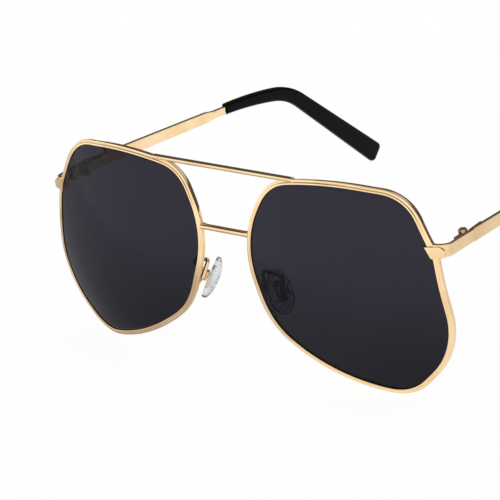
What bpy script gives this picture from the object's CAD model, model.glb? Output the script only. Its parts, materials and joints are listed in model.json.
# %% [markdown]
# # Oversized metal sunglasses
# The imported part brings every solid, hinge and screw in its real place. This lesson gives it
# its looks: smooth gold wire and plate, domed grey lenses, black tips and clear nose pads.
# The frame comes first, because every surface below is measured from it. Everything is in
# metres: X across the face, Y back along the temples, Z up.

# %% The fixed frame
import json
import bpy
import numpy as np
from mathutils import Matrix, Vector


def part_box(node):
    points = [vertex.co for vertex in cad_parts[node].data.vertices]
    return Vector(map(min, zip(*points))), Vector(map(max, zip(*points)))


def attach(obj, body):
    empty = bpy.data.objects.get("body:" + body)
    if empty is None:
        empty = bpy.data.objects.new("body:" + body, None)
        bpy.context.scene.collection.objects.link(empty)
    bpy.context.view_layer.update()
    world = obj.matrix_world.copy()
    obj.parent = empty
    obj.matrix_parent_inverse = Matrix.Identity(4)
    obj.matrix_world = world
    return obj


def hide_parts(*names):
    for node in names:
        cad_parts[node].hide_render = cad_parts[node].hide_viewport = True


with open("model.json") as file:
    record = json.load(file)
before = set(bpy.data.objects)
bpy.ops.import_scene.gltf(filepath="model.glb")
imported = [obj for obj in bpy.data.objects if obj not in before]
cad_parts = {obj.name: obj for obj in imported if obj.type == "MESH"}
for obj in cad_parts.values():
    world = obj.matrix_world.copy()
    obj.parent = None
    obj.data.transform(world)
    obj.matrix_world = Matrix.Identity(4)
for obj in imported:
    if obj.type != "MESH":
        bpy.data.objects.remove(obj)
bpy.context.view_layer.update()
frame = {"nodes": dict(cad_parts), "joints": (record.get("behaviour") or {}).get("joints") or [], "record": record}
MM = 0.001
SIDES = {"left": 1, "right": -1}
joints = {joint["name"]: joint for joint in frame["joints"]}
node_slots = {row["node"]: row["material_slot"] for row in frame["record"]["subparts"]}

# %% [markdown]
# ## Landmarks
# A maker pins a drawing at a few points and works from there. The hinge axis and the pad's
# rocking axis are written in the part's record, and the lens has a box. All the curves below
# start from these, so nothing has to be fitted by eye.

# %% Landmarks read from the frame
hinge = np.array(joints["left_temple_fold"]["pos_m"])
pad_rock = np.array(joints["left_pad_rock"]["pos_m"])
pad_side = np.array(joints["left_pad_rock"]["axis"], float)
lens_low, lens_high = (np.array(corner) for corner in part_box("left_lens"))
print("hinge axis", hinge.round(4), "lens apex at y", lens_low[1].round(4))

# %% [markdown]
# ## Shader sums
# Shader maths is easier to read as sums than as a web of nodes. A small class wraps a socket,
# and each operator on it adds a Math node. One method of the finish makes every other node.


# %% A socket that can be added and multiplied
class Value:
    """A shader socket. Each operator on it adds the Math node of that name."""

    def __init__(self, finish, socket):
        self.finish = finish
        self.socket = socket

    def sum(self, operation, first, second):
        return self.finish.node("ShaderNodeMath", {"operation": operation}, {0: first, 1: second})

    def __add__(self, other):
        return self.sum("ADD", self, other)

    def __mul__(self, other):
        return self.sum("MULTIPLY", self, other)

    def largest(self, other):
        return self.sum("MAXIMUM", self, other)

    __radd__ = __add__
    __rmul__ = __mul__


print("shader values add, multiply and give the largest")


# %% A finish and its nodes
class Finish:
    """The nodes of one material, or of the world."""

    def __init__(self, owner):
        self.owner = owner
        owner.use_nodes = True
        self.tree = owner.node_tree
        self.tree.nodes.clear()

    def node(self, kind, settings=None, inputs=None, output=0):
        """Adds a node: its settings first, then a value or a link for each named socket."""
        made = self.tree.nodes.new(kind)
        for name, value in (settings or {}).items():
            setattr(made, name, value)
        for name, value in (inputs or {}).items():
            if isinstance(value, Value):
                self.tree.links.new(value.socket, made.inputs[name])
            else:
                made.inputs[name].default_value = value
        return Value(self, made.outputs[output]) if made.outputs else None

    def place(self, patch):
        """The piece's own place in the frame, counted in patches of the given size."""
        here = self.node("ShaderNodeTexCoord", output="Object")
        grow = [1 / size for size in np.broadcast_to(patch, 3)]
        return self.node("ShaderNodeMapping", {"vector_type": "POINT"},
                         {"Vector": here, "Scale": grow})

    def cloud(self, patch, detail=3.0, harshness=0.55):
        """Soft noise from 0 to 1 with patches of the given size."""
        return self.node("ShaderNodeTexNoise", {"noise_dimensions": "3D"},
                         {"Vector": self.place(patch), "Scale": 1.0, "Detail": detail,
                          "Roughness": harshness})

    def stretch(self, value, span, result=(0, 1)):
        """A value carried smoothly from the ends of a span to two results, and held there."""
        return self.node("ShaderNodeMapRange", {"interpolation_type": "SMOOTHSTEP"},
                         {"Value": value, "From Min": span[0], "From Max": span[1],
                          "To Min": result[0], "To Max": result[1]})

    def blend(self, share, first, second):
        """Two colours mixed by a share."""
        return self.node("ShaderNodeMix", {"data_type": "RGBA"},
                         {0: share, 6: first, 7: second}, output=2)

    def relief(self, height, depth):
        """A normal from a height map whose full range is depth metres."""
        return self.node("ShaderNodeBump", {},
                         {"Height": height, "Distance": depth, "Strength": 1.0})

    def end(self, kind, shader):
        """Closes the tree with its output node."""
        self.node(kind, {}, {"Surface": shader})
        return self.owner


finishes = {}
print("finishes can be made from nodes")

# %% [markdown]
# ## Polished gold plate
# The frame is a copper alloy, plated with pale champagne gold and buffed. A mirror would look
# like plastic foil, so the plate varies: soft warmer patches where the plating is thicker, a
# polishing haze in its roughness, and hair-fine wipe marks that run along the temples.

# %% Gold finish
GOLD_PALE = (0.955, 0.720, 0.445, 1)
GOLD_WARM = (0.900, 0.625, 0.340, 1)
GOLD_GLOSS = (0.05, 0.13)
PLATING_PATCH, PLATING_SPAN = 8 * MM, (0.3, 0.7)
HAZE_PATCH, HAZE_SHARE, HAZE_SPAN = 2.5 * MM, 0.7, (0.35, 0.65)
WIPE_MARK = (0.22 * MM, 2.6 * MM, 0.22 * MM)
WIPE_DEPTH = 0.0012 * MM


def gold_finish():
    """Metal whose colour follows thick plating and whose gloss follows haze and wipe marks."""
    finish = Finish(bpy.data.materials.new("polished_gold_plate"))
    plating = finish.stretch(finish.cloud(PLATING_PATCH), PLATING_SPAN)
    wipes = finish.cloud(WIPE_MARK, detail=2.0)
    haze = finish.cloud(HAZE_PATCH, detail=4.0) * HAZE_SHARE + wipes * (1 - HAZE_SHARE)
    shader = finish.node("ShaderNodeBsdfPrincipled", {}, {
        "Base Color": finish.blend(plating, GOLD_PALE, GOLD_WARM),
        "Metallic": 1.0,
        "Roughness": finish.stretch(haze, HAZE_SPAN, GOLD_GLOSS),
        "Normal": finish.relief(wipes, WIPE_DEPTH)})
    return finish.end("ShaderNodeOutputMaterial", shader)


finishes["gold_plate"] = gold_finish()
print("finish:", finishes["gold_plate"].name)

# %% [markdown]
# ## Turned steel
# Screws and pad inserts are turned from steel and flashed with gold, so they are greyer and
# rougher than the frame. Fine rings from the lathe break up their shine.

# %% Steel finish
STEEL_PALE = (0.84, 0.75, 0.60, 1)
STEEL_DARK = (0.66, 0.57, 0.44, 1)
STEEL_GLOSS = (0.18, 0.36)
LATHE_RING, LATHE_SPAN, LATHE_DEPTH = (2 * MM, 2 * MM, 0.12 * MM), (0.3, 0.7), 0.003 * MM
WORN_PATCH, WORN_SPAN = 1.5 * MM, (0.35, 0.7)


def steel_finish():
    """Metal with close bands of turning marks and darker patches of handling."""
    finish = Finish(bpy.data.materials.new("turned_steel"))
    rings = finish.cloud(LATHE_RING, detail=2.0)
    worn = finish.stretch(finish.cloud(WORN_PATCH), WORN_SPAN)
    shader = finish.node("ShaderNodeBsdfPrincipled", {}, {
        "Base Color": finish.blend(worn, STEEL_PALE, STEEL_DARK),
        "Metallic": 1.0,
        "Roughness": finish.stretch(rings, LATHE_SPAN, STEEL_GLOSS),
        "Normal": finish.relief(rings, LATHE_DEPTH)})
    return finish.end("ShaderNodeOutputMaterial", shader)


finishes["screw_steel"] = steel_finish()
print("finish:", finishes["screw_steel"].name)

# %% [markdown]
# ## Grey lens
# The lens is a clear resin dyed through with a cool grey that lets only a few hundredths of the
# light pass. Glass with a very dark colour gives that: the page behind shows dimly, and the
# front mirrors its surroundings. The dye scatters about a third of the light, which softens what
# shows through. The index is set low, because real lenses are coated against glare. The dye is
# a little deeper towards the lower edge.

# %% Lens finish
LENS_GREY = (0.0448, 0.0431, 0.0592, 1)
LENS_DEEP = (0.0206, 0.0194, 0.0264, 1)
LENS_GLOSS, LENS_INDEX, LENS_PASSING = (0.0, 0.03), 1.13, 0.7
DYE_TOP, DYE_PATCH, DYE_DRIFT = 0.8, 30 * MM, 6 * MM
WIPED_PATCH, WIPED_SPAN = (7 * MM, 7 * MM, 3 * MM), (0.35, 0.75)


def lens_finish():
    """Dark clear resin, deeper in dye low down, with a trace of wiping haze in its gloss."""
    finish = Finish(bpy.data.materials.new("grey_lens_resin"))
    here = finish.node("ShaderNodeTexCoord", output="Object")
    height = finish.node("ShaderNodeSeparateXYZ", {}, {0: here}, output="Z")
    dye_top = lens_low[2] + DYE_TOP * (lens_high[2] - lens_low[2])
    dye = finish.stretch(height + finish.cloud(DYE_PATCH) * DYE_DRIFT, (lens_low[2], dye_top))
    haze = finish.cloud(WIPED_PATCH, detail=5.0)
    shader = finish.node("ShaderNodeBsdfPrincipled", {}, {
        "Base Color": finish.blend(dye, LENS_DEEP, LENS_GREY),
        "Roughness": finish.stretch(haze, WIPED_SPAN, LENS_GLOSS),
        "IOR": LENS_INDEX,
        "Transmission Weight": LENS_PASSING})
    return finish.end("ShaderNodeOutputMaterial", shader)


finishes["lens_grey"] = lens_finish()
print("finish:", finishes["lens_grey"].name)

# %% [markdown]
# ## Black tips
# The tips are moulded in black acetate and tumbled to a shine, which leaves a slow waviness and
# a few dull rubs where they sit on the ears.

# %% Tip finish
TIP_BLACK = (0.0035, 0.0035, 0.0048, 1)
TIP_RUBBED = (0.0075, 0.0075, 0.0095, 1)
TIP_GLOSS, TIP_SHINE = (0.14, 0.30), 0.06
RUB_PATCH, RUB_SPAN = (3 * MM, 9 * MM, 3 * MM), (0.45, 0.8)
WAVE_PATCH, WAVE_DEPTH = 4 * MM, 0.02 * MM


def tip_finish():
    """Near-black plastic: rubs lift the colour and the roughness, tumbling waves the surface."""
    finish = Finish(bpy.data.materials.new("black_acetate"))
    rubs = finish.stretch(finish.cloud(RUB_PATCH, detail=5.0), RUB_SPAN)
    waves = finish.cloud(WAVE_PATCH, detail=1.0)
    shader = finish.node("ShaderNodeBsdfPrincipled", {}, {
        "Base Color": finish.blend(rubs, TIP_BLACK, TIP_RUBBED),
        "Roughness": finish.stretch(rubs, (0, 1), TIP_GLOSS),
        "Specular IOR Level": TIP_SHINE,
        "Normal": finish.relief(waves, WAVE_DEPTH)})
    return finish.end("ShaderNodeOutputMaterial", shader)


finishes["tip_black"] = tip_finish()
print("finish:", finishes["tip_black"].name)

# %% [markdown]
# ## Clear pads
# The nose pads are soft clear silicone with a bluish cast. Clear rubber is never quite clear:
# some light scatters in it, and its skin is satin from the mould.

# %% Pad finish
PAD_CLEAR = (0.93, 0.945, 0.97, 1)
PAD_CLOUDY = (0.80, 0.83, 0.87, 1)
PAD_GLOSS, PAD_INDEX, PAD_PASSING = (0.10, 0.22), 1.24, 0.8
CLOUD_PATCH, CLOUD_SPAN = 2.2 * MM, (0.35, 0.7)
GRAIN_PATCH, GRAIN_SPAN, GRAIN_DEPTH = 0.35 * MM, (0.3, 0.7), 0.004 * MM


def pad_finish():
    """Milky clear rubber with faint clouds and a satin skin."""
    finish = Finish(bpy.data.materials.new("clear_silicone"))
    clouds = finish.stretch(finish.cloud(CLOUD_PATCH), CLOUD_SPAN)
    grain = finish.cloud(GRAIN_PATCH, detail=2.0)
    shader = finish.node("ShaderNodeBsdfPrincipled", {}, {
        "Base Color": finish.blend(clouds, PAD_CLEAR, PAD_CLOUDY),
        "Roughness": finish.stretch(grain, GRAIN_SPAN, PAD_GLOSS),
        "IOR": PAD_INDEX,
        "Transmission Weight": PAD_PASSING,
        "Normal": finish.relief(grain, GRAIN_DEPTH)})
    return finish.end("ShaderNodeOutputMaterial", shader)


finishes["pad_silicone"] = pad_finish()
print("finish:", finishes["pad_silicone"].name)

# %% [markdown]
# ## Skins over grids
# Almost every piece of a pair of glasses is a profile carried along a line, or rings that grow
# from a pole. Both are a grid of points, worked out as whole arrays. One function joins the
# grid's neighbours with faces, closes its two ends with fans, and turns the faces outwards by
# the sign of the volume that they enclose.

# %% From a grid of points to a piece
SHARP_ANGLE = np.radians(38)


def enclosed(points, quads):
    """Volume inside closed faces: the sum of the triple products of their two triangles."""
    first, second, third, fourth = (points[quads[:, column]] for column in range(4))
    halves = np.cross(first, second) * third + np.cross(first, third) * fourth
    return halves.sum() / 6


def skin(name, grid):
    """Mesh over a grid (stations, ring, 3): rings joined by quads, both ends closed by fans."""
    stations, ring = grid.shape[:2]
    index = np.arange(stations * ring).reshape(stations, ring)
    ends = np.array([stations * ring, stations * ring + 1])
    points = np.vstack([grid.reshape(-1, 3), grid[0].mean(axis=0), grid[-1].mean(axis=0)])
    lower, upper = index[:-1], index[1:]
    quads = np.stack([lower, np.roll(lower, -1, 1), np.roll(upper, -1, 1), upper], -1).reshape(-1, 4)
    first = np.stack([np.roll(index[0], -1), index[0], np.full(ring, ends[0])], -1)
    last = np.stack([index[-1], np.roll(index[-1], -1), np.full(ring, ends[1])], -1)
    fans = np.vstack([first, last])
    closed = np.vstack([quads, np.column_stack([fans, fans[:, 2]])])
    turn = 1 if enclosed(points, closed) > 0 else -1
    mesh = bpy.data.meshes.new(name)
    mesh.from_pydata(points.tolist(), [], quads[:, ::turn].tolist() + fans[:, ::turn].tolist())
    mesh.polygons.foreach_set("use_smooth", np.ones(len(mesh.polygons), bool))
    mesh.set_sharp_from_angle(angle=SHARP_ANGLE)
    mesh.validate()
    return mesh


def dress(name, grid, body, slot, *nodes):
    """A piece over a grid, on a body, in a slot's finish, that stands for the nodes it covers."""
    piece = bpy.data.objects.new(name, skin(name, grid))
    bpy.context.scene.collection.objects.link(piece)
    piece.data.materials.append(finishes[slot])
    flats = piece.modifiers.new("flats stay flat", "WEIGHTED_NORMAL")
    flats.keep_sharp = True
    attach(piece, body)
    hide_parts(*nodes)
    print(name, len(piece.data.polygons), "faces")
    return piece


def on_side(grid, side):
    """The grid on the wearer's left as it is, or mirrored to the right."""
    return grid * np.array([SIDES[side], 1, 1])


print("grid skins ready, with edges sharp past", round(np.degrees(SHARP_ANGLE)), "degrees")

# %% [markdown]
# ## Rounded lines
# Lens outline, rim section, end piece and pad arm are all straight runs with rounded corners.
# One function gives the arcs of any such line, flat or in space. A second spaces points evenly
# along a line, and a third melts the joins of arcs and straights together, as a wire does when
# it is bent round a former.


# %% Arcs at the corners of a line
def corner_arcs(corners, reach, steps):
    """Arcs (corners, steps, axes) that touch both sides of each corner at a given reach.

    Half the corner's angle gives the radius, reach times its tangent, and the centre, on the
    corner's bisector. Each arc turns evenly about its centre from one side to the other.
    """
    before = np.roll(corners, 1, axis=0) - corners
    after = np.roll(corners, -1, axis=0) - corners
    before /= np.linalg.norm(before, axis=1, keepdims=True)
    after /= np.linalg.norm(after, axis=1, keepdims=True)
    half = np.arccos((before * after).sum(axis=1, keepdims=True)) / 2
    reach = np.broadcast_to(reach, len(corners))[:, None]
    bisector = before + after
    bisector /= np.linalg.norm(bisector, axis=1, keepdims=True)
    centre = corners + bisector * reach / np.cos(half)
    start, stop = corners + before * reach - centre, corners + after * reach - centre
    turn = (np.pi - 2 * half)[..., None]
    share = np.linspace(0, 1, steps)[None, :, None]
    swept = np.sin((1 - share) * turn) * start[:, None] + np.sin(share * turn) * stop[:, None]
    return centre[:, None] + swept / np.sin(turn)


def even_steps(line, count):
    """Points at even steps along an open line."""
    lengths = np.linalg.norm(np.diff(line, axis=0), axis=1)
    run = np.concatenate([[0], np.cumsum(lengths)])
    stops = np.linspace(0, run[-1], count)
    return np.column_stack([np.interp(stops, run, axis) for axis in line.T])


def melted(line, finest):
    """A closed flat line without its finest waves: a bell curve fades its Fourier series."""
    waves = np.fft.fft(line[:, 0] + 1j * line[:, 1])
    order = np.fft.fftfreq(len(line), 1 / len(line))
    smooth = np.fft.ifft(waves * np.exp(-(order / finest)**2))
    return np.column_stack([smooth.real, smooth.imag])


def outward(line):
    """Unit normals of a closed flat line: its central differences turned by a quarter."""
    along = np.roll(line, -1, axis=0) - np.roll(line, 1, axis=0)
    normal = np.column_stack([-along[:, 1], along[:, 0]])
    normal /= np.linalg.norm(normal, axis=1, keepdims=True)
    return normal * np.sign((normal * (line - line.mean(axis=0))).sum())


print("rounded lines ready")

# %% [markdown]
# ## Lens outline
# The lens is a tall nine-cornered drop with soft corners. Its corners are given as shares of the
# half width and half height, with the share of each side that the corner's curve may take.

# %% Outline of the lens opening, seen from the front
LENS_WIDTH, LENS_HEIGHT = 59.5 * MM, 57.6 * MM
LENS_CORNERS = np.array([
    (-0.773, 0.915, 0.318, 0.318),
    (-0.141, 1.030, 0.653, 0.516),
    (0.666, 0.936, 0.292, 0.410),
    (0.921, 0.401, 0.113, 0.072),
    (1.052, -0.533, 0.414, 0.532),
    (0.541, -1.043, 0.288, 0.281),
    (-0.168, -0.870, 0.668, 0.640),
    (-0.803, -0.439, 0.316, 0.305),
    (-1.069, 0.328, 0.447, 0.551)])
OUTLINE_STEPS, OUTLINE_FINEST = 640, 46

corners = LENS_CORNERS[:, :2] * (LENS_WIDTH / 2, LENS_HEIGHT / 2)
sides = np.linalg.norm(np.roll(corners, -1, axis=0) - corners, axis=1)
reaches = np.minimum(LENS_CORNERS[:, 2] * np.roll(sides, 1), LENS_CORNERS[:, 3] * sides)
loop = corner_arcs(corners, reaches, steps=24).reshape(-1, 2)
loop = even_steps(np.vstack([loop, loop[:1]]), OUTLINE_STEPS + 1)[:-1]
outline = melted(loop, OUTLINE_FINEST)
outline_shift = (lens_low + lens_high)[[0, 2]] / 2 - (loop.min(axis=0) + loop.max(axis=0)) / 2
outline = outline + outline_shift
normals = outward(outline)
print("outline", (np.ptp(outline, axis=0) / MM).round(2), "mm")

# %% [markdown]
# ## Lens curve
# Both faces of the lens, and the rim round it, lie on spheres about one centre far behind. That
# is how lens blanks are cut, and it means that one formula gives the depth of every front part.

# %% Depth of a sphere about the lens curve's centre
LENS_CURVE_RADIUS = 86 * MM
LENS_AXIS_INSET, LENS_AXIS_DROP = 10.7 * MM, 3.0 * MM
curve_centre = np.array([outline_shift[0] - LENS_AXIS_INSET, lens_low[1] + LENS_CURVE_RADIUS,
                         outline_shift[1] - LENS_AXIS_DROP])


def depth(x, z, radius):
    """Y of a sphere's front: the centre's Y less the third side of a right triangle in space."""
    sideways = (x - curve_centre[0])**2 + (z - curve_centre[2])**2
    return curve_centre[1] - np.sqrt(radius**2 - sideways)


def edge_x(height, offset, temporal):
    """X of the outline grown by offset, at a height, on its temporal or nasal side."""
    line = outline + normals * offset
    half = line[(line[:, 0] > outline_shift[0]) == temporal]
    half = half[np.argsort(half[:, 1])]
    return np.interp(height, half[:, 1], half[:, 0])


print("curve centre", curve_centre.round(4))

# %% [markdown]
# ## Rims
# A rim is a drawn wire with a groove for the lens, bent round it and slit at its outer side,
# where a small lock closes it. Its section is a rounded rectangle with the groove cut in. A fine
# rolled line runs along its front and splits it into two bands of light. Its path is the lens
# outline. The section leans with the lens curve as the wire does.

# %% Rim wires
RIM_WIDTH, RIM_DEPTH, RIM_PROUD = 1.4 * MM, 1.5 * MM, 0.3 * MM
RIM_ROUNDING, RIM_INNER_ROUNDING, RIM_FRONT_ROUNDING = 0.14 * MM, 0.1 * MM, 0.05 * MM
RIM_LINE, RIM_LINE_HALF, RIM_LINE_DEPTH = 0.66 * MM, 0.18 * MM, 0.13 * MM
RIM_INNER_BEVEL, RIM_OUTER_BEVEL = 0.12 * MM, 0.10 * MM
GROOVE_DEPTH, GROOVE_WIDTH, GROOVE_LIP = 0.5 * MM, 0.55 * MM, 0.5 * MM
RIM_SLIT, LOCK_DROP, RIM_LEAN = 0.12 * MM, 0.6 * MM, 0.5
RIM_FRONT_RADIUS = LENS_CURVE_RADIUS + RIM_PROUD
GROOVE_END = GROOVE_LIP + GROOVE_WIDTH
RIM_SECTION = np.array([(0, RIM_INNER_BEVEL), (RIM_INNER_BEVEL, 0), (RIM_LINE - RIM_LINE_HALF, 0),
                        (RIM_LINE, RIM_LINE_DEPTH), (RIM_LINE + RIM_LINE_HALF, 0),
                        (RIM_WIDTH - RIM_OUTER_BEVEL, 0), (RIM_WIDTH, RIM_OUTER_BEVEL),
                        (RIM_WIDTH, RIM_DEPTH), (0, RIM_DEPTH), (0, GROOVE_END),
                        (GROOVE_DEPTH, GROOVE_END), (GROOVE_DEPTH, GROOVE_LIP), (0, GROOVE_LIP)])
RIM_BEVEL_ROUNDING = RIM_OUTER_BEVEL / 3
RIM_REACHES = np.array(6 * [RIM_FRONT_ROUNDING] + [RIM_BEVEL_ROUNDING, RIM_ROUNDING]
                       + 5 * [RIM_INNER_ROUNDING])


def rim_grid():
    """The rim's section carried round the outline, from one side of the slit to the other.

    A section point lies across the normal by its first size. By its second it lies deeper, on
    a smaller sphere, and is drawn towards the curve's centre by a share of that sphere's slope.
    """
    section = corner_arcs(RIM_SECTION, RIM_REACHES, steps=5).reshape(-1, 2)
    lock_height = hinge[2] - LOCK_DROP
    start = np.argmin(abs(outline[:, 1] - lock_height) + (outline[:, 0] < outline_shift[0]))
    round_trip = np.append(np.roll(np.arange(OUTLINE_STEPS), -start), start)
    path, way = outline[round_trip], normals[round_trip]
    path[0, 1] -= np.sign(path[0, 1] - path[1, 1]) * RIM_SLIT / 2
    path[-1, 1] -= np.sign(path[-1, 1] - path[-2, 1]) * RIM_SLIT / 2
    lean = RIM_LEAN * (path - curve_centre[[0, 2]]) / LENS_CURVE_RADIUS
    flat = path[:, None] + way[:, None] * section[:, :1] - lean[:, None] * section[:, 1:]
    y = depth(flat[..., 0], flat[..., 1], RIM_FRONT_RADIUS - section[:, 1])
    return np.stack([flat[..., 0], y, flat[..., 1]], axis=-1)


for side in SIDES:
    dress(side + "_rim_wire", on_side(rim_grid(), side), "front", "gold_plate", side + "_rim")

# %% [markdown]
# ## Lenses
# A lens is a dome of even thickness with a thin tongue round its edge that sits in the rim's
# groove, and a narrow bevel in front of it that leaves a dark line beside the gold. Rings that
# grow from a pole on the front face, run over the edge and shrink to a pole on the back face
# make it one closed skin, with both faces exactly on their spheres.

# %% Lenses
LENS_THICKNESS, LENS_CLEARANCE = 1.8 * MM, 0.05 * MM
LENS_BEVEL, LENS_BEVEL_DROP = 0.45 * MM, 0.22 * MM
LENS_RINGS, LENS_STRIDE, POLE_SHARE = 40, 2, 0.015


def lens_grid():
    """Rings at shares of the outline's distance from its middle, each on its own sphere."""
    tongue_front = RIM_FRONT_RADIUS - GROOVE_LIP - LENS_CLEARANCE
    tongue_back = RIM_FRONT_RADIUS - GROOVE_END + LENS_CLEARANCE
    back = LENS_CURVE_RADIUS - LENS_THICKNESS
    tongue = GROOVE_DEPTH - LENS_CLEARANCE
    faces = np.linspace(POLE_SHARE, 1, LENS_RINGS)
    rims = np.array([(-LENS_CLEARANCE, LENS_CURVE_RADIUS - LENS_BEVEL_DROP),
                     (-LENS_CLEARANCE, tongue_front), (tongue, tongue_front),
                     (tongue, tongue_back), (-LENS_CLEARANCE, tongue_back)])
    share = np.concatenate([faces, np.ones(len(rims)), faces[::-1]])
    grown = np.concatenate([np.full(LENS_RINGS, -LENS_CLEARANCE - LENS_BEVEL), rims[:, 0],
                            np.full(LENS_RINGS, -LENS_CLEARANCE)])
    radius = np.concatenate([np.full(LENS_RINGS, LENS_CURVE_RADIUS), rims[:, 1],
                             np.full(LENS_RINGS, back)])
    middle = outline.mean(axis=0)
    edge = outline[::LENS_STRIDE] + normals[::LENS_STRIDE] * grown[:, None, None]
    flat = middle + (edge - middle) * share[:, None, None]
    y = depth(flat[..., 0], flat[..., 1], radius[:, None])
    return np.stack([flat[..., 0], y, flat[..., 1]], axis=-1)


for side in SIDES:
    dress(side + "_lens_dome", on_side(lens_grid(), side), "front", "lens_grey", side + "_lens")

# %% [markdown]
# ## Top bar and bridge
# Two round bars hold the rims together: a long one on top and a short bridge below it. Each is
# a circle carried along a line. Its ends swell a little, where braze has crept up the bar, and
# are eased like a filed end.

# %% A round wire along any line
BAR_LEAN, ARM_LEAN = np.array([0.31, -0.27, 0.91]), np.array([0.94, 0.33, 0.08])
BAR_STATIONS, BAR_TURNS, BAR_LEAST, BRAZE_SPREAD = 72, 28, 0.2, 1.2


def wire_grid(path, radius, lean, turns=20):
    """Circles square to a path: two unit vectors across it, by the cosine and the sine.

    The first of them is square to the path and to a lean, along which the path never runs.
    """
    along = np.gradient(path, axis=0)
    along /= np.linalg.norm(along, axis=1, keepdims=True)
    across = np.cross(along, lean)
    across /= np.linalg.norm(across, axis=1, keepdims=True)
    upward = np.cross(across, along)
    around = np.linspace(0, 2 * np.pi, turns, endpoint=False)[None, :, None]
    ring = np.cos(around) * across[:, None] + np.sin(around) * upward[:, None]
    return path[:, None] + ring * np.broadcast_to(radius, len(path))[:, None, None]


def bar_grid(half, y, z, radius, swell, ease):
    """A straight bar: its radius swells near both ends and is rounded off at the very end."""
    x = half * np.sin(np.linspace(-np.pi / 2, np.pi / 2, BAR_STATIONS))
    left = half - abs(x)
    grown = radius + swell * np.exp(-(left / (BRAZE_SPREAD * radius))**2)
    rounded = np.sqrt(np.clip(1 - (1 - left / ease).clip(0, 1)**2, BAR_LEAST, 1))
    path = np.column_stack([x, np.full_like(x, y), np.full_like(x, z)])
    return wire_grid(path, grown * rounded, BAR_LEAN, BAR_TURNS)


print("wires ready")

# %% Top bar and bridge
TOP_BAR_RADIUS, TOP_BAR_HALF = 0.8 * MM, 25.1 * MM
TOP_BAR_SETBACK, TOP_BAR_SINK, TOP_BAR_EASE = 0.5 * MM, 0.35 * MM, 0.5 * MM
BRIDGE_RADIUS, BRIDGE_HEIGHT, BRIDGE_SETBACK = 0.88 * MM, 41.6 * MM, 0.9 * MM
BRIDGE_SINK, BRIDGE_EASE, BRAZE_SWELL = 0.3 * MM, 0.1 * MM, 0.22 * MM

rim_line = outline + normals * RIM_WIDTH
upper = rim_line[rim_line[:, 1] > outline_shift[1]]
upper = upper[np.argsort(upper[:, 0])]
top_z = np.interp(TOP_BAR_HALF, upper[:, 0], upper[:, 1]) - TOP_BAR_SINK
top_y = depth(TOP_BAR_HALF, top_z, RIM_FRONT_RADIUS) + TOP_BAR_SETBACK
top_bar = bar_grid(TOP_BAR_HALF, top_y, top_z, TOP_BAR_RADIUS, 0, TOP_BAR_EASE)
dress("top_bar_wire", top_bar, "front", "gold_plate", "top_bar")
bridge_half = edge_x(BRIDGE_HEIGHT, RIM_WIDTH, False) + BRIDGE_SINK
bridge_y = depth(bridge_half, BRIDGE_HEIGHT, RIM_FRONT_RADIUS) + BRIDGE_SETBACK
bridge = bar_grid(bridge_half, bridge_y, BRIDGE_HEIGHT, BRIDGE_RADIUS, BRAZE_SWELL, BRIDGE_EASE)
dress("bridge_wire", bridge, "front", "gold_plate", "bridge")

# %% [markdown]
# ## End pieces
# An end piece is a flat plate brazed on the rim's front, with one corner cut off, and a strip
# that bends back from it to the hinge. The strip is a rounded rectangle carried along a bent
# line. Its root dips behind the plate and stands a little taller, so a fine shadow parts the two.
# The plate is a tile with rounded edges, made of rings that shrink to its middle.

# %% Strip sections along a line
END_THICKNESS, END_HEIGHT = 1.1 * MM, 3.4 * MM
END_BEND_RADIUS, END_TILT = 5.0 * MM, np.radians(22)
END_ROUNDING, END_START, END_DIP, END_LIFT = 0.14 * MM, 0.9 * MM, 0.35 * MM, 0.7 * MM
SEAM_EASE = 0.05 * MM
KNUCKLE_DIAMETER, KNUCKLE_STANDOFF, HINGE_SETBACK = 2.7 * MM, 0.15 * MM, 1.7 * MM
outer_x = hinge[0] + KNUCKLE_DIAMETER / 2 + KNUCKLE_STANDOFF + END_THICKNESS
seam_y = hinge[1] + HINGE_SETBACK
UPRIGHT = np.array([0, 0, 1.0])


def strip_sections(thickness, height, rounding, steps=6):
    """Rounded rectangles (stations, ring, 2): quarter circles about hubs drawn in from corners."""
    thickness, height, rounding = np.broadcast_arrays(thickness, height, rounding)
    angle = (np.linspace(0, np.pi / 2, steps) + np.arange(4)[:, None] * np.pi / 2).ravel()
    sideways, upwards = np.repeat([1, -1, -1, 1], steps), np.repeat([1, 1, -1, -1], steps)
    hub = np.stack([sideways * (thickness / 2 - rounding)[:, None],
                    upwards * (height / 2 - rounding)[:, None]], axis=-1)
    return hub + rounding[:, None, None] * np.stack([np.cos(angle), np.sin(angle)], axis=-1)


def carried(sections, path, across, rise):
    """Each section's two sizes laid along its own station's two unit vectors."""
    return path[:, None] + sections[..., :1] * across[:, None] + sections[..., 1:] * rise[:, None]


print("end pieces reach out to x", outer_x.round(4), "and back to y", seam_y.round(4))

# %% End pieces
PLATE_HEIGHT, PLATE_REACH, PLATE_TAPER = 3.5 * MM, 4.2 * MM, 0.45 * MM
PLATE_CORNER_ALONG, PLATE_CORNER_DOWN, PLATE_CORNER_REACH = 1.4 * MM, 1.1 * MM, 0.3 * MM
PLATE_STEP, PLATE_BACK, PLATE_OVERLAP = 0.25 * MM, 0.45 * MM, 0.5 * MM
PLATE_ROUNDING, PLATE_INNER_RING, PLATE_EDGE_STEPS = 0.12 * MM, 0.18 * MM, 6
end_x = edge_x(hinge[2], 0, True)
end_edge = np.array([end_x, depth(end_x, hinge[2], RIM_FRONT_RADIUS), hinge[2]])
end_along = np.array([np.cos(END_TILT), np.sin(END_TILT), 0])
end_outward = np.array([end_along[1], -end_along[0], 0])


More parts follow.
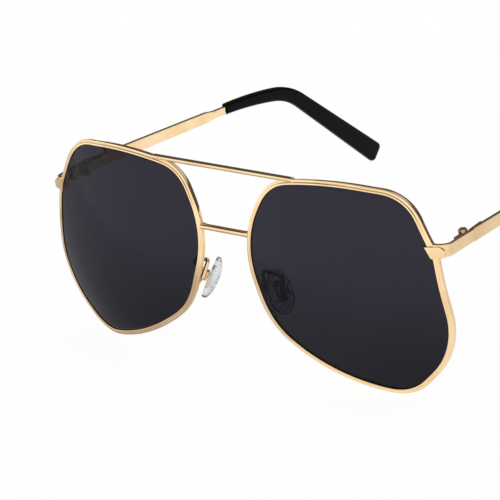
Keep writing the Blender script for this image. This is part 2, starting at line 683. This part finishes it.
def end_strip_grid():
    """The strip's section along a straight run, an arc and a straight run back to the seam.

    Its upper edge starts higher by a lift that falls evenly to nothing at the arc's end.
    """
    start = end_edge - end_outward * END_THICKNESS / 2
    bend_x = outer_x - END_THICKNESS / 2
    bend = start + end_along * (bend_x - start[0]) / end_along[0]
    stop = np.array([bend_x, seam_y, hinge[2]])
    first = start + end_along * END_START
    reach = (END_BEND_RADIUS - END_THICKNESS / 2) * np.tan((np.pi / 2 - END_TILT) / 2)
    arc = corner_arcs(np.array([first, bend, stop]), np.array([0, reach, 0]), steps=18)[1]
    dip = end_outward * END_DIP
    root = np.array([first, first + end_along * END_ROUNDING]) - dip
    path = np.vstack([root, arc, stop - [0, SEAM_EASE, 0], stop])
    along = np.gradient(path, axis=0)
    along /= np.linalg.norm(along, axis=1, keepdims=True)
    across = np.cross(along, UPRIGHT)
    smaller = np.zeros(len(path))
    smaller[[0, -1]] = END_ROUNDING, SEAM_EASE
    run = np.linalg.norm(path - path[0], axis=1)
    taller = END_LIFT * np.clip(1 - run / run[len(root) + len(arc) - 1], 0, 1)
    sections = strip_sections(END_THICKNESS - smaller, END_HEIGHT + taller - smaller, END_ROUNDING)
    raised = path + taller[:, None] / 2 * UPRIGHT
    return carried(sections, raised, across, np.broadcast_to(UPRIGHT, path.shape))


def end_plate_grid():
    """Rings of the plate's outline, drawn in as they come over its rounded front edge."""
    half = PLATE_HEIGHT / 2
    levels = np.array([half, -half])
    lens_side = (edge_x(hinge[2] + levels, -PLATE_OVERLAP, True) - end_edge[0]) / end_along[0]
    plan = np.array([(lens_side[0], half), (lens_side[1], -half), (PLATE_REACH, PLATE_TAPER - half),
                     (PLATE_REACH, half - PLATE_CORNER_DOWN), (PLATE_REACH - PLATE_CORNER_ALONG, half)])
    ring = corner_arcs(plan, PLATE_CORNER_REACH, steps=7).reshape(-1, 2)
    turn = np.linspace(0, np.pi / 2, PLATE_EDGE_STEPS)
    drawn = np.concatenate([[PLATE_ROUNDING, 0], PLATE_ROUNDING * (1 - np.cos(turn)),
                            [PLATE_INNER_RING]])
    front = np.concatenate([[-PLATE_BACK, PLATE_ROUNDING - PLATE_BACK],
                            PLATE_STEP - PLATE_ROUNDING * (1 - np.sin(turn)), [PLATE_STEP]])
    rings = ring - outward(ring) * drawn[:, None, None]
    return (end_edge + rings[..., :1] * end_along + rings[..., 1:] * UPRIGHT
            + front[:, None, None] * end_outward)


for side in SIDES:
    dress(side + "_end_strip", on_side(end_strip_grid(), side), "front", "gold_plate",
          side + "_end_piece")
    dress(side + "_end_plate", on_side(end_plate_grid(), side), "front", "gold_plate",
          side + "_end_piece")

# %% [markdown]
# ## Temples and tips
# A temple is one line seen from the side: a straight fall from the hinge, a slow droop, and the
# bend behind the ear. The metal runs along the first stretch and the black tip over the rest.
# The line's downward angle is a sum of ramps, and adding up its sines and cosines gives the line.

# %% The temple's middle line
WALK_LENGTH, WALK_STEPS = 180 * MM, 3600
TEMPLE_LENGTH, TEMPLE_TOE_IN, TEMPLE_FALL = 59.6 * MM, np.radians(4.2), np.radians(3.3)
TEMPLE_THICKNESS, SEAM_GAP = 1.2 * MM, 0.06 * MM
TIP_DROOP_RADIUS, TIP_BEND_RADIUS = 136 * MM, 23.5 * MM
TIP_DROOP, TIP_DROP = np.radians(12), np.radians(43)
TIP_START_HEIGHT, TIP_END_HEIGHT, TIP_CORNER = 2.8 * MM, 5.7 * MM, 1.6 * MM

droop_length = TIP_DROOP_RADIUS * (TIP_DROOP - TEMPLE_FALL)
bend_length = TIP_BEND_RADIUS * (TIP_DROP - TIP_DROOP)
walk = np.linspace(0, WALK_LENGTH, WALK_STEPS + 1)
drooping = np.clip((walk - TEMPLE_LENGTH) / droop_length, 0, 1)
bending = np.clip((walk - TEMPLE_LENGTH - droop_length) / bend_length, 0, 1)
fall = TEMPLE_FALL + drooping * (TIP_DROOP - TEMPLE_FALL) + bending * (TIP_DROP - TIP_DROOP)
mean_fall = (fall[1:] + fall[:-1]) / 2
side_y = seam_y + np.concatenate([[0], np.cumsum(np.cos(mean_fall))]) * walk[1]
side_z = hinge[2] - np.concatenate([[0], np.cumsum(np.sin(mean_fall))]) * walk[1]
lowest = (TIP_END_HEIGHT / 2 - TIP_CORNER) * np.cos(TIP_DROP) + TIP_CORNER
temple_reach = np.interp(-lowest, -side_z, walk)
print("temple and tip", round((temple_reach + TIP_CORNER) / MM, 1), "mm along their line")


def temple_grid(distance, thickness, height, rounding, steps=6, lift=0):
    """Strip sections square to the middle line, turned inward about the seam's outer corner.

    A lift moves them off the line, towards its upper side.
    """
    angle = np.interp(distance, walk, fall)
    path = np.column_stack([np.full_like(distance, outer_x - TEMPLE_THICKNESS / 2),
                            np.interp(distance, walk, side_y), np.interp(distance, walk, side_z)])
    rise = np.column_stack([np.zeros_like(angle), np.sin(angle), np.cos(angle)])
    across = np.broadcast_to([1.0, 0, 0], path.shape)
    sections = strip_sections(thickness, height, rounding, steps) + [0, lift]
    grid = carried(sections, path, across, rise)
    corner = np.array([outer_x, seam_y, 0])
    cos, sin = np.cos(TEMPLE_TOE_IN), np.sin(TEMPLE_TOE_IN)
    return (grid - corner) @ np.array([[cos, sin, 0], [-sin, cos, 0], [0, 0, 1]]) + corner


# %% Temples
TEMPLE_HEIGHT, TEMPLE_END_HEIGHT, TEMPLE_NECK_HEIGHT = 3.7 * MM, 3.3 * MM, 2.3 * MM
TEMPLE_NECK, TEMPLE_ROUNDING = 5.0 * MM, 0.14 * MM
TEMPLE_SQUARE, TEMPLE_TUCK = 1.0 * MM, 2.0 * MM
STRIP_STATIONS, NECK_STATIONS = 40, 24


def metal_temple_grid():
    """Flat strip that narrows slowly, then steps down to a neck along a smooth ramp.

    Its first two sections are laid square to the front, so that the seam is an even fine line.
    """
    shoulder = TEMPLE_LENGTH - 2 * TEMPLE_NECK
    distance = np.concatenate([[SEAM_GAP, SEAM_GAP + SEAM_EASE],
                               np.linspace(TEMPLE_SQUARE, shoulder, STRIP_STATIONS),
                               np.linspace(shoulder, shoulder + TEMPLE_NECK, NECK_STATIONS)[1:],
                               [TEMPLE_LENGTH, TEMPLE_LENGTH + TEMPLE_TUCK]])
    ramp = np.clip((distance - shoulder) / TEMPLE_NECK, 0, 1)
    ramp = ramp * ramp * (3 - 2 * ramp)
    slow = TEMPLE_HEIGHT + (TEMPLE_END_HEIGHT - TEMPLE_HEIGHT) * np.clip(distance / shoulder, 0, 1)
    height = slow + (TEMPLE_NECK_HEIGHT - slow) * ramp
    eased = np.zeros_like(distance)
    eased[0] = SEAM_EASE
    grid = temple_grid(distance, TEMPLE_THICKNESS - eased, height - eased, TEMPLE_ROUNDING)
    grid[:2, :, 1] = seam_y + distance[:2, None]
    return grid


for side in SIDES:
    dress(side + "_temple_strip", on_side(metal_temple_grid(), side), side + "_temple_arm",
          "gold_plate", side + "_temple")

# %% [markdown]
# A tip swells slowly from the metal's neck to a soft paddle, with more of it above the line than
# below. Its end is rounded both ways: the section shrinks by a cosine while it moves on by a
# sine, so that the corner is a true arc.

# %% Tips
TIP_THICKNESS, TIP_ROUNDING, TIP_EDGE, TIP_LIP = 2.3 * MM, 0.95 * MM, 0.75 * MM, 0.18 * MM
TIP_CREST, TIP_TRIM, TIP_FORWARD = 0.65 * MM, 0.6 * MM, 0.8 * MM
TIP_STATIONS, TIP_END_STATIONS, TIP_ROUNDEST = 90, 14, 0.48


def tip_grid():
    """A growing rounded strip with a lip at its start and a cosine-shaped end."""
    begin, reach = TEMPLE_LENGTH - TIP_FORWARD, temple_reach - TIP_TRIM
    body = np.linspace(begin + TIP_LIP, reach, TIP_STATIONS)
    turn = np.linspace(0, np.pi / 2, TIP_END_STATIONS)[1:]
    distance = np.concatenate([[begin], body, reach + TIP_CORNER * np.sin(turn)])
    drawn = 2 * np.concatenate([np.zeros(1 + len(body)), 1 - np.cos(turn)])
    lip = np.zeros_like(distance)
    lip[0] = 2 * TIP_LIP
    share = np.clip((distance - begin) / (reach - begin), 0, 1)
    height = TIP_START_HEIGHT + (TIP_END_HEIGHT - TIP_START_HEIGHT) * share
    height = height + TIP_CREST - TIP_CORNER * drawn - lip
    thickness = TIP_THICKNESS - TIP_EDGE * drawn - lip
    rounding = np.minimum(TIP_ROUNDING, TIP_ROUNDEST * np.minimum(thickness, height))
    return temple_grid(distance, thickness, height, rounding, steps=9, lift=TIP_CREST / 2)


for side in SIDES:
    dress(side + "_tip_paddle", on_side(tip_grid(), side), side + "_temple_arm", "tip_black",
          side + "_temple_tip")

# %% [markdown]
# ## Nose pads and arms
# A pad is a clear oval drop, crowned towards the nose and flat at its back, where a metal insert
# is moulded in. A thin wire arm carries it: out of the rim's back, up, over and down to the box
# that holds the pad's lug.

# %% The pad's own axes
PAD_LEAN, PAD_PITCH = np.radians(24), np.radians(14)
PAD_ROCK_GAP, BOX_DEPTH, BOX_BACK = 0.45 * MM, 2.0 * MM, 0.6 * MM
pad_up = np.array([-np.tan(PAD_LEAN), np.tan(PAD_PITCH), 1])
pad_up /= np.linalg.norm(pad_up)
pad_face = np.cross(pad_up, pad_side)
pad_centre = pad_rock + pad_face * (PAD_ROCK_GAP + BOX_DEPTH / 2)
print("pad centre", pad_centre.round(4))

# %% Nose pads
PAD_LENGTH, PAD_WIDTH, PAD_THICKNESS, PAD_CROWN = 13.2 * MM, 7.4 * MM, 2.8 * MM, 2.2 * MM
PAD_TAPER, PAD_FULLNESS, PAD_FRONT_POLE, PAD_BACK_POLE = 0.14, 0.92, 0.03, 0.25
PAD_RINGS, PAD_TURNS = 44, 72


def pad_grid():
    """Rings of a flattened ball from its crown to its flat back, wider below than above.

    A ring's angle from the crown gives its size by a sine and its height by a cosine. Where the
    ball would go behind the back plane, its height is held there and its size keeps shrinking.
    """
    polar = np.linspace(PAD_FRONT_POLE, np.pi - PAD_BACK_POLE, PAD_RINGS)[:, None]
    around = np.linspace(0, 2 * np.pi, PAD_TURNS, endpoint=False)[None, :]
    size = np.sin(polar)**PAD_FULLNESS
    lengthwise = size * np.cos(around)
    across = size * np.sin(around) * (1 - PAD_TAPER * lengthwise)
    proud = np.maximum(PAD_THICKNESS - PAD_CROWN + PAD_CROWN * np.cos(polar), 0)
    return (pad_centre + across[..., None] * pad_side * PAD_WIDTH / 2
            + proud[..., None] * pad_face + lengthwise[..., None] * pad_up * PAD_LENGTH / 2)


for side in SIDES:
    pad = dress(side + "_soft_pad", on_side(pad_grid(), side), side + "_pad", "pad_silicone",
                side + "_nose_pad")

# %% Pad arms
ARM_RADIUS, ARM_FOOT_HEIGHT, ARM_RISE, ARM_TOP_BACK = 0.6 * MM, 24.8 * MM, 5.6 * MM, 3.4 * MM
ARM_STANDOFF, ARM_BEND_REACH, ARM_STATIONS = 0.9 * MM, 1.1 * MM, 90
ARM_BRAZE, FOOT_BRAZE_RUN, SEAT_BRAZE_RUN, SEAT_BRAZE_SHARE = 0.25 * MM, 0.07, 0.05, 0.5


def arm_grid():
    """A circle along a bent wire that starts inside the rim's back and ends at the pad's box."""
    foot_x = edge_x(ARM_FOOT_HEIGHT, RIM_WIDTH, False) + RIM_WIDTH / 2
    rim_back = depth(foot_x, ARM_FOOT_HEIGHT, RIM_FRONT_RADIUS - RIM_DEPTH)
    top_height = ARM_FOOT_HEIGHT + ARM_RISE
    top_x = edge_x(top_height, RIM_WIDTH, False) + RIM_WIDTH / 2
    seat = pad_centre - pad_face * (PAD_ROCK_GAP + BOX_DEPTH + BOX_BACK)
    line = np.array([(foot_x, rim_back - ARM_RADIUS, ARM_FOOT_HEIGHT),
                     (foot_x, rim_back + ARM_STANDOFF + ARM_RADIUS, ARM_FOOT_HEIGHT),
                     (top_x, rim_back + ARM_TOP_BACK, top_height),
                     (seat[0] + ARM_RADIUS, seat[1] - ARM_RADIUS, top_height - 2 * ARM_RADIUS),
                     seat])
    reach = np.array([0, 1, 1, 1, 0]) * ARM_BEND_REACH
    arcs = corner_arcs(line, reach, steps=14)[1:-1].reshape(-1, 3)
    path = even_steps(np.vstack([line[:1], arcs, line[-1:]]), ARM_STATIONS)
    walked = np.linspace(0, 1, ARM_STATIONS)
    at_foot = np.exp(-(walked / FOOT_BRAZE_RUN)**2)
    at_seat = SEAT_BRAZE_SHARE * np.exp(-((1 - walked) / SEAT_BRAZE_RUN)**2)
    return wire_grid(path, ARM_RADIUS + ARM_BRAZE * (at_foot + at_seat), ARM_LEAN)


for side in SIDES:
    dress(side + "_pad_wire", on_side(arm_grid(), side), "front", "gold_plate", side + "_pad_arm")

# %% [markdown]
# ## Small hardware
# Hinge leaves, locks, pad boxes and screws are right as they come from the frame, so they stay
# and only take their finish.

# %% Finishes of the nodes that stay
kept = [name for name, node in frame["nodes"].items() if not node.hide_render]
for name in kept:
    frame["nodes"][name].data.materials.clear()
    frame["nodes"][name].data.materials.append(finishes[node_slots[name]])
print("kept as they are:", len(kept))

# %% [markdown]
# ## Studio
# The glasses stand on a white sweep. Polished metal shows only what is round it, so the light is
# set for its reflections: a bright room in front, a dark one above and behind that draws fine
# dark lines along the upper edges, and two wide soft boxes. To the camera, and through the
# lenses, the floor glows a little, so that it stays white and still keeps a share of the soft
# shadow. What metal mirrors of the floor has a map of its own: bright in front and on the far
# side, where a studio would stand white cards, and dark near the lenses' feet.

# %% What metal mirrors of the floor
MIRRORED_FRONT, MIRRORED_FEET, MIRRORED_NEAR = 1.0, 0.25, 0.85
MIRRORED_REST, MIRRORED_FAR = 0.62, 0.92
FEET_ACROSS, FAR_ACROSS = (-0.02, 0.04), (0.03, 0.10)
FRONT_BACKWARD, REST_BACKWARD, FAR_BACKWARD = (-0.18, -0.11), (-0.08, 0.0), (-0.07, 0.02)
sweep = Finish(bpy.data.materials.new("white_sweep"))
spot = sweep.node("ShaderNodeTexCoord", output="Object")
across, backward = (sweep.node("ShaderNodeSeparateXYZ", {}, {0: spot}, output=axis) for axis in "XY")
at_feet = sweep.stretch(across, FEET_ACROSS, (MIRRORED_FEET, MIRRORED_NEAR))
in_front = sweep.stretch(backward, FRONT_BACKWARD, (MIRRORED_FRONT, 0))
at_rest = sweep.stretch(backward, REST_BACKWARD, (at_feet, MIRRORED_REST))
far_side = sweep.stretch(across, FAR_ACROSS, (MIRRORED_FAR, 0)) * sweep.stretch(backward, FAR_BACKWARD)
mirrored = in_front.largest(at_rest).largest(far_side)
print("mirrored floor:", MIRRORED_FRONT, "in front,", MIRRORED_FEET, "at the feet")

# %% Floor
FLOOR_HALF, FLOOR_PLAIN, FLOOR_GLOW, PAPER_PATCH = 1.5, 0.86, 1.10, 0.4
FLOOR_WHITE, FLOOR_DULL = (0.95, 0.95, 0.95, 1), (0.93, 0.93, 0.93, 1)
camera_ray, glossy_ray, passing_ray = (sweep.node("ShaderNodeLightPath", output="Is %s Ray" % kind)
                                       for kind in ("Camera", "Glossy", "Transmission"))
plain = camera_ray.largest(passing_ray) * FLOOR_PLAIN + glossy_ray * mirrored
paper = sweep.cloud(PAPER_PATCH, detail=1.0)
matte = sweep.node("ShaderNodeBsdfDiffuse", {}, {"Color": sweep.blend(paper, FLOOR_WHITE, FLOOR_DULL)})
glow = sweep.node("ShaderNodeEmission", {}, {"Color": (1, 1, 1, 1), "Strength": FLOOR_GLOW})
mixed = sweep.node("ShaderNodeMixShader", {}, {0: plain, 1: matte, 2: glow})
floor_corners = FLOOR_HALF * np.array([(-1, -1, 0), (1, -1, 0), (1, 1, 0), (-1, 1, 0)])
floor_mesh = bpy.data.meshes.new("floor")
floor_mesh.from_pydata(floor_corners.tolist(), [], [(0, 1, 2, 3)])
floor = bpy.data.objects.new("floor", floor_mesh)
bpy.context.scene.collection.objects.link(floor)
floor_mesh.materials.append(sweep.end("ShaderNodeOutputMaterial", mixed))
print("floor", 2 * FLOOR_HALF, "m wide")

# %% Room round the object
ROOM_BRIGHT, ROOM_DARK = (1.2, 1.2, 1.2, 1), (0.10, 0.09, 0.08, 1)
ROOM_BACKWARD, ROOM_UPWARD = (-0.1, 0.4), (0.25, 0.6)
world = bpy.data.worlds.new("studio")
bpy.context.scene.world = world
room = Finish(world)
direction = room.node("ShaderNodeTexCoord", output="Generated")
backwards, upwards = (room.node("ShaderNodeSeparateXYZ", {}, {0: direction}, output=axis)
                      for axis in "YZ")
lit = room.stretch(backwards, ROOM_BACKWARD, (1, 0)) * room.stretch(upwards, ROOM_UPWARD, (1, 0))
light = room.node("ShaderNodeBackground", {}, {
    "Color": room.blend(lit, ROOM_DARK, ROOM_BRIGHT), "Strength": 1.0})
room.end("ShaderNodeOutputWorld", light)
print("room", ROOM_BRIGHT[0], "in front and", ROOM_DARK[0], "above and behind")

# %% Soft boxes, each with its place, its width and its power
SOFT_BOXES = {"key": ((0.05, -0.15, 1.20), 1.5, 2.1), "fill": ((0.10, 0.75, 0.95), 1.3, 2.6)}


def stood(right, up, back, place):
    """The matrix of an object at a place, with its own three axes along right, up and back."""
    return Matrix([*np.column_stack([right, up, back, place]).tolist(), (0, 0, 0, 1)])


def look_at(place, target):
    """A turn and place whose minus Z points from place to target."""
    back = np.array(place) - target
    back = back / np.linalg.norm(back)
    right = np.cross(UPRIGHT, back)
    right = right / np.linalg.norm(right)
    return stood(right, np.cross(back, right), back, place)


for name, (place, size, power) in SOFT_BOXES.items():
    lamp = bpy.data.lights.new(name, "AREA")
    lamp.size, lamp.energy = size, power
    box = bpy.data.objects.new(name, lamp)
    bpy.context.scene.collection.objects.link(box)
    box.matrix_world = look_at(place, np.zeros(3))
print("soft boxes:", list(SOFT_BOXES))

# %% [markdown]
# ## Camera
# The camera stands where the photographer stood: a little above the lenses, on the wearer's left,
# with a long lens that keeps the two lenses nearly the same size.

# %% Camera
CAMERA_PLACE = (0.591187, -0.722591, 0.393870)
CAMERA_RIGHT, CAMERA_UP = (0.77309, 0.62134, -0.12755), (-0.14657, 0.37064, 0.91714)
CAMERA_LENS, CAMERA_SENSOR, CAMERA_CLIP = 247.76, 36.0, (0.05, 20)
eye = bpy.data.cameras.new("photo_view")
eye.lens, eye.sensor_width = CAMERA_LENS, CAMERA_SENSOR
eye.clip_start, eye.clip_end = CAMERA_CLIP
camera = bpy.data.objects.new("photo_view", eye)
bpy.context.scene.collection.objects.link(camera)
camera_back = np.cross(CAMERA_RIGHT, CAMERA_UP)
camera.matrix_world = stood(CAMERA_RIGHT, CAMERA_UP, camera_back, CAMERA_PLACE)
bpy.context.scene.camera = camera
bpy.context.scene.view_settings.view_transform = "Standard"
print("camera with a lens of", CAMERA_LENS, "mm")
